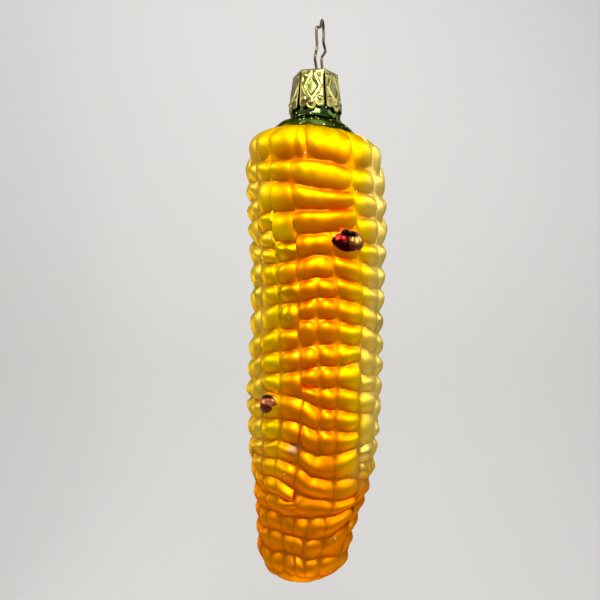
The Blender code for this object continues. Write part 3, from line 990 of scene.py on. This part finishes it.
# the cap's flat top, punched with two holes for the wire
def capPlate():
    sheet = capForm["sheet"]
    middle = capForm["top"] - sheet / 2 - capForm["plateDrop"]
    deselectAll()
    bpy.ops.mesh.primitive_cylinder_add(
        vertices=capForm["panels"], radius=(capForm["corner"] - capForm["plateIn"]) * mm,
        depth=sheet * mm, location=capMiddle + Vector((0, 0, middle)) * mm,
        rotation=(0, 0, math.radians(capForm["turn"])))
    plate = bpy.context.object
    for x, y in capForm["wireHoles"]:
        deselectAll()
        bpy.ops.mesh.primitive_cylinder_add(
            vertices=32, radius=capForm["holeRadius"] * mm, depth=2 * mm,
            location=(Vector((x, y, capForm["top"])) - hookPlace) * mm)
        punch = bpy.context.object
        applyModifier(plate, "BOOLEAN", operation="DIFFERENCE", object=punch, solver="EXACT")
        makeActive(punch)
        bpy.ops.object.delete()
    makeActive(plate)
    bpy.ops.object.transform_apply(location=True, rotation=True, scale=True)
    return plate


# six sides, welded and given their thickness, with the flat top let in
def crownCap():
    panel = capPanel()
    panels = [panel]
    for n in range(1, capForm["panels"]):
        makeActive(panel)
        bpy.ops.object.duplicate()
        copy = bpy.context.object
        copy.rotation_euler = (0, 0, math.radians(n * 360 / capForm["panels"]))
        spin = copy.rotation_euler.to_matrix()
        copy.location = capMiddle - spin @ capMiddle
        panels.append(copy)
    deselectAll()
    for each in panels:
        each.select_set(True)
    bpy.context.view_layer.objects.active = panel
    bpy.ops.object.transform_apply(location=True, rotation=True, scale=True)
    bpy.ops.object.join()
    cap = bpy.context.object
    cap.name = cap.data.name = "crownCap"
    bpy.ops.object.mode_set(mode="EDIT")
    bpy.ops.mesh.select_all(action="SELECT")
    bpy.ops.mesh.remove_doubles(threshold=capForm["weld"] * mm)
    faceOutwards(cap)
    outward = cap.data.polygons[0]
    if outward.normal.dot(outward.center - capMiddle) < 0:
        cap.data.flip_normals()
    applyModifier(cap, "SOLIDIFY", thickness=capForm["sheet"] * mm, offset=-1.0)
    plate = capPlate()
    makeActive(cap)
    plate.select_set(True)
    bpy.ops.object.join()
    return cap


# thin brass stamped bright: pale brass reflections, with painted shade darkening the low parts of
# the stamping
def brightPaleBrass():
    mat = newMaterial("paleBrassStampedBright")
    relief = addNode(mat, "ShaderNodeAttribute", attribute_name="relief").outputs["Fac"]
    place = addNode(mat, "ShaderNodeTexCoord").outputs["Object"]
    cloud = addNode(mat, "ShaderNodeTexNoise", {"Vector": place, "Scale": 150.0,
                                                "Detail": 0.0}).outputs["Fac"]
    high = addNode(mat, "ShaderNodeMapRange", {"Value": relief, "From Min": -0.08,
                                               "From Max": 0.14})
    tints = {name: linearColour(text) for name, text in capForm["colours"].items()}
    colour = addNode(mat, "ShaderNodeMix", {"Factor": cloud, 6: tints["dark"],
                                            7: tints["light"]}, data_type="RGBA")
    # painted shade: the lower the stamping, the darker
    colour = addNode(mat, "ShaderNodeMix", {"Factor": high.outputs[0], 6: tints["sunk"],
                                            7: colour.outputs[2]}, data_type="RGBA")
    rough = addNode(mat, "ShaderNodeMapRange", {"Value": cloud, "To Min": 0.28, "To Max": 0.34})
    shader = addNode(mat, "ShaderNodeBsdfPrincipled",
                     {"Base Color": colour.outputs[2], "Metallic": 1.0,
                      "Roughness": rough.outputs[0]})
    addNode(mat, "ShaderNodeOutputMaterial", {"Surface": shader.outputs[0]})
    return mat


cap = crownCap()
makeActive(cap)
bpy.ops.object.shade_smooth_by_angle(angle=math.radians(35))
cap.data.materials.append(brightPaleBrass())
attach(cap, "root")
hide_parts("crown_cap")
print("crown cap:", len(cap.data.polygons), "faces")


# hanger wire

wireForm = {
    "thick": 0.75,
    "sides": 14,               # faces round the wire
    "steps": 5,                # rings from one point of the route to the next
    "colours": {"dark": "#241C12", "light": "#7A6A4A"},
    # from the end of the front leg inside the neck, over the loop and back down
    "route": [
        (-1.9, -4.2, -26.5), (-1.75, -3.9, -24.0), (-1.45, -3.2, -20.0),
        (-1.2, -2.75, -17.0), (-1.08, -2.6, -15.2), (-1.05, -2.6, -14.0),
        (-1.25, -2.85, -12.8), (-1.45, -3.2, -11.5), (-1.3, -3.0, -10.4),
        (-1.1, -2.65, -9.4), (-0.9, -2.5, -8.3), (-0.9, -2.5, -7.2),
        (-1.0, -2.6, -5.5), (-1.03, -2.62, -4.0), (-1.0, -2.55, -3.1),
        (-0.7, -2.1, -2.62), (-0.1, -1.5, -2.42), (0.2, -1.2, -1.8),
        (0.3, -0.95, -1.0), (0.5, -0.3, -0.05), (0.7, 0.65, 0.375),
        (0.9, 1.6, 0.1), (1.02, 2.3, -0.7), (1.1, 2.6, -1.8), (1.12, 2.6, -3.2),
        (1.08, 2.6, -4.4), (1.2, 2.9, -5.3), (1.55, 3.45, -6.4), (1.6, 3.45, -7.1),
        (1.2, 2.9, -8.0), (0.75, 2.1, -8.9), (0.5, 1.7, -9.8), (0.58, 1.75, -11.2),
        (0.72, 1.9, -12.6), (0.75, 2.0, -14.0), (0.75, 2.05, -15.2),
        (0.9, 2.4, -17.0), (1.3, 3.1, -20.0), (1.65, 3.7, -24.0), (1.8, 4.0, -26.5),
    ],
}


# points on a smooth curve through the route's own points
def smoothRoute(points, steps):
    ends = [2 * points[0] - points[1]] + points + [2 * points[-1] - points[-2]]
    out = []
    for a, b, c, d in zip(ends, ends[1:], ends[2:], ends[3:]):
        for n in range(steps):
            t = n / steps
            out.append(0.5 * (2 * b + (c - a) * t + (2 * a - 5 * b + 4 * c - d) * t * t
                              + (3 * b - a - 3 * c + d) * t ** 3))
    return out + [points[-1]]


# a tube with each of its rings moved to its place on the route
def hangerWire():
    path = smoothRoute([Vector(p) - hookPlace for p in wireForm["route"]], wireForm["steps"])
    wire = steppedTube("hangerWire", wireForm["sides"], len(path) - 1)
    bpy.ops.mesh.select_all(action="SELECT")
    bpy.ops.mesh.fill_holes(sides=0)
    bpy.ops.object.mode_set(mode="OBJECT")
    rings, side = [], Vector((1, 0, 0))
    for n, p in enumerate(path):
        along = (path[min(n + 1, len(path) - 1)] - path[max(n - 1, 0)]).normalized()
        side = (side - along * side.dot(along)).normalized()
        rings.append((p, side, along.cross(side)))
    r = wireForm["thick"] / 2
    for v in wire.data.vertices:
        p, sideways, upward = rings[round(-v.co.z)]
        v.co = (p + sideways * v.co.x * r + upward * v.co.y * r) * mm
    faceOutwards(wire)
    return wire


# drawn spring wire gone brown: dark warm reflections with bright glints
def drawnSpringSteel():
    mat = newMaterial("springSteelDrawnTarnished")
    place = addNode(mat, "ShaderNodeTexCoord").outputs["Object"]
    stretched = addNode(mat, "ShaderNodeMapping", {"Vector": place, "Scale": (9.0, 9.0, 1.0)})
    cloud = addNode(mat, "ShaderNodeTexNoise", {"Vector": stretched.outputs[0], "Scale": 220.0,
                                                "Detail": 4.0}).outputs["Fac"]
    colours = wireForm["colours"]
    colour = addNode(mat, "ShaderNodeMix", {"Factor": cloud, 6: linearColour(colours["dark"]),
                                            7: linearColour(colours["light"])},
                     data_type="RGBA")
    rough = addNode(mat, "ShaderNodeMapRange", {"Value": cloud, "To Min": 0.18, "To Max": 0.34})
    shader = addNode(mat, "ShaderNodeBsdfPrincipled",
                     {"Base Color": colour.outputs[2], "Metallic": 1.0,
                      "Roughness": rough.outputs[0]})
    addNode(mat, "ShaderNodeOutputMaterial", {"Surface": shader.outputs[0]})
    return mat


wire = hangerWire()
makeActive(wire)
bpy.ops.object.shade_smooth_by_angle(angle=math.radians(50))
wire.data.materials.append(drawnSpringSteel())
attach(wire, "root")
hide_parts("hanger_wire")
print("hanger wire:", len(wire.data.polygons), "faces")


# the two beetles on the kernels

ladybirdForm = {
    "angle": 22.2, "height": -62.2,      # its middle on the cob
    "stretch": 1.1,                      # of its width, round the cob
    "sunk": 0.4, "side": 1.6,            # edge below the kernel tops, height of its side
    # outline in mm, to the right and up from the middle
    "outline": [(4.3, -0.5), (4.26, 0.5), (3.8, 1.25), (3.23, 1.95), (2.34, 2.3), (1.55, 2.5),
                (0.46, 2.5), (0.07, 2.77), (-0.6, 2.97), (-1.25, 2.83), (-1.78, 2.5),
                (-2.16, 2.1), (-2.92, 1.55), (-3.66, 1.0), (-3.93, 0.7), (-4.19, 0.0),
                (-4.1, -0.4), (-3.66, -1.0), (-2.92, -1.7), (-1.9, -2.4), (-0.6, -2.8),
                (0.73, -2.6), (2.08, -2.3), (3.37, -1.97), (4.1, -1.35)],
    "body": 0.45,                        # height of the low dome under the rest
    # domes: middle, half width, half height, how high
    "domes": [(-1.75, -0.2, 2.4, 2.5, 0.75), (2.2, -0.25, 2.0, 2.15, 0.95),
              (-0.6, 2.1, 1.4, 1.0, 0.9), (1.2, 1.75, 1.0, 0.7, 0.6)],
    # colour patches: middle, half width, half height, edge softness; the warm round patch is a
    # painted highlight and the small bright ones painted glints
    "wing": [(2.3, -0.45, 2.25, 2.4, 0.12)],
    "black": [(-0.55, 2.2, 1.35, 1.1, 0.2), (0.8, 1.7, 1.2, 0.85, 0.25)],
    "glintStreak": [(-1.85, 0.75, 0.7, 0.4, 0.5), (-2.9, 0.5, 0.45, 0.25, 0.6)],
    "goldHighlight": [(2.1, 0.1, 1.3, 1.1, 0.7)],
    "colours": {"dark": "#300808", "light": "#5A120E", "wing": "#6E341C", "goldHighlight": "#D89848",
                "glintStreak": "#E0301C", "black": "#100808", "rim": "#F0A43C"},
    "rimFrom": (0.955, 0.985),           # shares of the way out between which the rim grows
    "ripple": 0.12,                      # strength of the lacquer's unevenness
    "roughness": 0.26,
}
smallBeetleForm = {
    "angle": -42.0, "height": -103.1,
    "stretch": 1.06,
    "sunk": 0.15, "side": 1.8,
    "outline": [(2.75, -0.1), (3.04, 0.6), (2.9, 1.3), (2.13, 2.1), (0.87, 2.45), (-0.45, 2.3),
                (-1.52, 1.8), (-2.26, 1.0), (-2.6, 0.0), (-2.6, -1.2), (-1.9, -2.1),
                (-0.8, -2.5), (0.55, -2.2), (1.52, -1.5), (1.84, -0.75), (1.6, -0.35)],
    "body": 0.7,
    "domes": [(-0.7, -0.5, 1.9, 1.9, 1.0), (1.0, 0.9, 1.9, 1.1, 0.95)],
    "wing": [(0.9, 0.65, 2.3, 0.75, 0.4)],
    "black": [(-0.1, 2.5, 2.9, 1.0, 0.3), (-2.7, 0.2, 0.5, 2.3, 0.5),
              (-0.6, -2.7, 1.8, 0.8, 0.4)],
    # the small bright patches are painted glints and the warm round patch a painted highlight
    "glintStreak": [(-0.5, 0.5, 0.45, 0.4, 0.6), (1.5, 0.25, 0.6, 0.4, 0.6)],
    "goldHighlight": [(0.6, 0.7, 1.7, 0.5, 0.7)],
    "colours": {"dark": "#642614", "light": "#944226", "wing": "#C86A3A", "goldHighlight": "#EC9860",
                "glintStreak": "#E8905A", "black": "#2A100A", "rim": "#E2B038"},
    "rimFrom": (0.955, 0.985),
    "ripple": 0.03,
    "roughness": 0.42,
}


# how far the outline is from the middle, at this angle
def reachAt(outline, angle):
    turned = sorted((math.atan2(b, a), math.hypot(a, b)) for a, b in outline)
    turned = ([(turned[-1][0] - math.tau, turned[-1][1])] + turned
              + [(turned[0][0] + math.tau, turned[0][1])])
    return between(turned, angle)


# a glossy dome moulded on the kernels, open nowhere
def beetle(name, form):
    deselectAll()
    bpy.ops.mesh.primitive_uv_sphere_add(segments=72, ring_count=48, radius=1.0)
    bug = bpy.context.object
    bug.name = bug.data.name = name
    mesh = bug.data
    masks = {key: [0.0] * len(mesh.vertices)
             for key in ("wing", "goldHighlight", "black", "glintStreak", "rim")}
    for i, v in enumerate(mesh.vertices):
        share = math.hypot(v.co.x, v.co.y)
        reach = reachAt(form["outline"], math.atan2(v.co.y, v.co.x)) if share > 0.001 else 1.0
        across, up = v.co.x * reach, v.co.y * reach
        if v.co.z >= -0.001:
            high = form["body"] * math.sqrt(max(0.0, 1 - share ** 2))
            for x, y, wide, tall, rise in form["domes"]:
                away = ((across - x) / wide) ** 2 + ((up - y) / tall) ** 2
                if away < 1:
                    high = max(high, rise * math.sqrt(1 - away) * (1 - share ** 8))
        else:
            high = -form["side"] * min(1.0, -v.co.z * 2)
        for key in ("wing", "goldHighlight", "black", "glintStreak"):
            best = 0.0
            for x, y, wide, tall, soft in form[key]:
                away = math.hypot((across - x) / wide, (up - y) / tall)
                best = max(best, 1 - smoothStep(1 - soft, 1 + soft, away))
            masks[key][i] = best
        masks["rim"][i] = 1.0 if v.co.z < -0.001 else smoothStep(*form["rimFrom"], share)
        across *= form["stretch"]
        z = form["height"] + up
        around = between(cobForm["profile"], z)
        a = math.radians(form["angle"]) + across / around
        radius = around - form["sunk"] + high
        v.co = (Vector((between(cobForm["middle"], z) + radius * math.sin(a),
                        -radius * math.cos(a), z)) - hookPlace) * mm
    for key, values in masks.items():
        mesh.attributes.new(key, "FLOAT", "POINT").data.foreach_set("value", values)
    faceOutwards(bug)
    bpy.ops.object.shade_smooth_by_angle(angle=math.radians(40))
    bug.data.materials.append(glossLacquerOverSilvering(name, form))
    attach(bug, "root")
    print(name + ":", len(bug.data.polygons), "faces")


# clear red, copper and black lacquer over silvering: deep colour, sharp glints, with a highlight
# and glints also painted into the colour
def glossLacquerOverSilvering(name, form):
    mat = newMaterial(name + "RedGlossLacquer")
    mask = {key: addNode(mat, "ShaderNodeAttribute", attribute_name=key).outputs["Fac"]
            for key in ("wing", "goldHighlight", "black", "glintStreak", "rim")}
    place = addNode(mat, "ShaderNodeTexCoord").outputs["Object"]
    cloud = addNode(mat, "ShaderNodeTexNoise", {"Vector": place, "Scale": 900.0,
                                                "Detail": 3.0}).outputs["Fac"]
    colours = form["colours"]
    colour = addNode(mat, "ShaderNodeMix", {"Factor": cloud, 6: linearColour(colours["dark"]),
                                            7: linearColour(colours["light"])},
                     data_type="RGBA")
    # two of these patches are painted light: a highlight and glints
    for key in ("wing", "goldHighlight", "glintStreak", "black", "rim"):
        colour = addNode(mat, "ShaderNodeMix", {"Factor": mask[key], 6: colour.outputs[2],
                                                7: linearColour(colours[key])},
                         data_type="RGBA")
    bump = addNode(mat, "ShaderNodeBump", {"Height": cloud, "Strength": form["ripple"],
                                           "Distance": 0.0002})
    shader = addNode(mat, "ShaderNodeBsdfPrincipled",
                     {"Base Color": colour.outputs[2], "Metallic": 1.0,
                      "Roughness": form["roughness"], "Normal": bump.outputs[0]})
    addNode(mat, "ShaderNodeOutputMaterial", {"Surface": shader.outputs[0]})
    return mat


beetle("ladybird", ladybirdForm)
beetle("smallBeetle", smallBeetleForm)


# camera, floor and lights

lightMiddle = (-0.002, 0, -0.08)
studio = {
    "camera": (-6.2, -171.25, -76.8),   # mm from the hook
    "lens": 37.2,
    # the paper's size, near edge, height under the hook, wall and the bend up to it, in m
    "paper": {"size": 4, "near": -0.1, "low": -0.45, "wall": 0.6, "tall": 3, "bend": 0.3},
    "paperColour": "#DAD8D6",
    "roomLight": 0.25,
    # soft white lamps: place and what they point at in m, size and watts
    "lamps": {
        "keyLight": ((-0.01, -0.36, 0.29), lightMiddle, (0.18, 0.15), 2.8),
        "spotLight": ((0.01, -0.42, 0.18), (-0.002, 0, -0.03), (0.07, 0.07), 0.25),
        "windowLight": ((0.42, -0.35, 0.1), lightMiddle, (0.2, 0.3), 1.0),
        "leftLight": ((-0.45, 0.38, -0.16), lightMiddle, (0.15, 0.2), 0.35),
        "leftFill": ((-0.6, -0.1, 0.25), (-0.002, 0, -0.05), (0.3, 0.3), 1.3),
        "rightLight": ((0.6, 0.05, 0.24), lightMiddle, (0.5, 0.4), 1.5),
        "tableLight": ((0.0, 0.05, -0.42), lightMiddle, (0.15, 0.15), 0.08),
        "frontLight": ((0.02, -0.45, 0.06), lightMiddle, (0.2, 0.1), 0.35),
        "backdropLight": ((-0.15, 0.1, 0.6), (-0.15, 0.6, 0.15), (0.8, 0.2), 1.6),
    },
}

deselectAll()
bpy.ops.object.camera_add(location=Vector(studio["camera"]) * mm,
                          rotation=(math.radians(90), 0, 0))
camera = bpy.context.object
camera.data.lens = studio["lens"]
camera.data.clip_start = 0.01
bpy.context.scene.camera = camera


# a sheet of paper whose far edge is pulled up and bent into a wall
def paperBackdrop():
    paper = studio["paper"]
    deselectAll()
    bpy.ops.mesh.primitive_plane_add(size=paper["size"], location=(0, 0, paper["low"]))
    floor = bpy.context.object
    floor.name = floor.data.name = "studioFloor"
    bpy.ops.object.transform_apply(location=True, rotation=True, scale=True)
    for v in floor.data.vertices:
        v.select = v.co.y > 0
    for e in floor.data.edges:
        e.select = all(floor.data.vertices[i].co.y > 0 for i in e.vertices)
    floor.data.polygons[0].select = False
    bpy.context.tool_settings.mesh_select_mode = (False, True, False)
    bpy.ops.object.mode_set(mode="EDIT")
    bpy.ops.mesh.extrude_region_move(TRANSFORM_OT_translate={"value": (0, 0, paper["tall"])})
    bpy.ops.object.mode_set(mode="OBJECT")
    for v in floor.data.vertices:
        v.co.y = paper["wall"] if v.co.y > 0 else paper["near"]
    applyModifier(floor, "BEVEL", width=paper["bend"], segments=12, limit_method="ANGLE")
    floor.data.shade_smooth()
    floor.data.materials.append(mattPaper())


# uncoated paper, rolled matt: it takes the light softly, with no shine
def mattPaper():
    mat = newMaterial("mattPaperBackdrop")
    shader = addNode(mat, "ShaderNodeBsdfPrincipled",
                     {"Base Color": linearColour(studio["paperColour"]), "Roughness": 0.9})
    addNode(mat, "ShaderNodeOutputMaterial", {"Surface": shader.outputs[0]})
    return mat


def softLamp(name, place, aim, size, watts):
    deselectAll()
    bpy.ops.object.light_add(type="AREA", location=place)
    lamp = bpy.context.object
    lamp.name = name
    lamp.data.shape = "RECTANGLE"
    lamp.data.size, lamp.data.size_y = size
    lamp.data.energy = watts
    lamp.rotation_euler = (Vector(aim) - Vector(place)).to_track_quat("-Z", "Y").to_euler()


paperBackdrop()
for name, (place, aim, size, watts) in studio["lamps"].items():
    softLamp(name, place, aim, size, watts)
world = bpy.data.worlds.new("paleRoom")
bpy.context.scene.world = world
world.use_nodes = True
roomAir = world.node_tree.nodes["Background"]
roomAir.inputs["Color"].default_value = linearColour("#FFFFFF")
roomAir.inputs["Strength"].default_value = studio["roomLight"]
bpy.context.scene.view_settings.view_transform = "Standard"
print("stage, lamps and camera are set")
